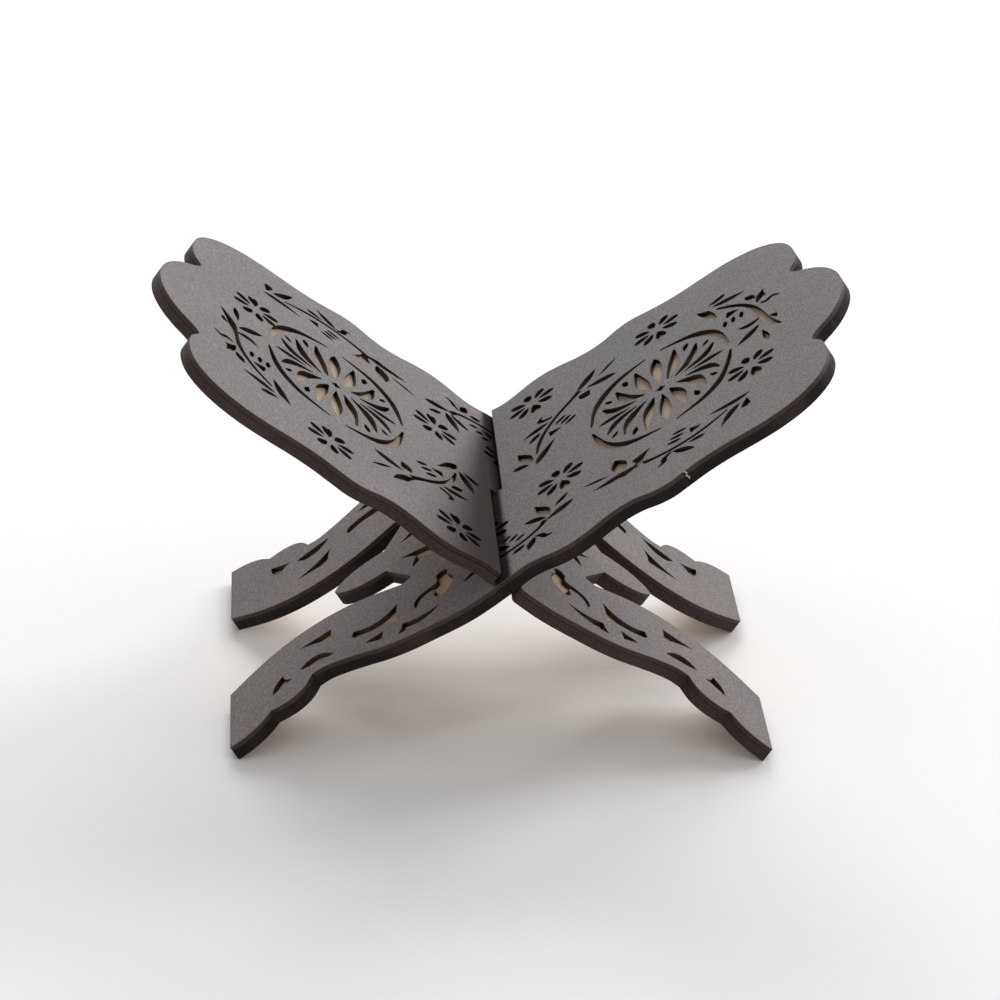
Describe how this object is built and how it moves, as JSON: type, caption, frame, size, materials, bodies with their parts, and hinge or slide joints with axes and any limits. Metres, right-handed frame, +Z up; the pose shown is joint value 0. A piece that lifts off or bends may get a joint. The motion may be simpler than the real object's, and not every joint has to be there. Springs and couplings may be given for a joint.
{
  "type": "folding book stand",
  "caption": "X-shaped book stand of two crossing half-lapped boards with scalloped panels, scrolled legs and a glued fretwork face.",
  "frame": {"origin": "on the floor, midway between the four feet, below the crossing of the boards", "axes": "+Z up, +X towards the tip of the right panel, +Y from the front edge to the back edge, along the fold axis"},
  "size_m": [0.3354, 0.2256, 0.2063],
  "materials": {
    "natural_mdf": "raw MDF, edges scorched dark brown by the laser",
    "grey_painted_mdf": "matt warm grey paint on MDF, scorched cut edges"
  },
  "bodies": {
    "right_board": {"right_base_board": "natural_mdf", "right_fretwork_overlay": "grey_painted_mdf"},
    "left_board": {"left_base_board": "natural_mdf", "left_fretwork_overlay": "grey_painted_mdf"}
  },
  "joints": [
    {"name": "fold", "type": "hinge", "parent": "right_board", "child": "left_board", "pos_m": [0, 0, 0.08982], "axis": [0, 1, 0], "range_deg": [0, 42]}
  ]
}
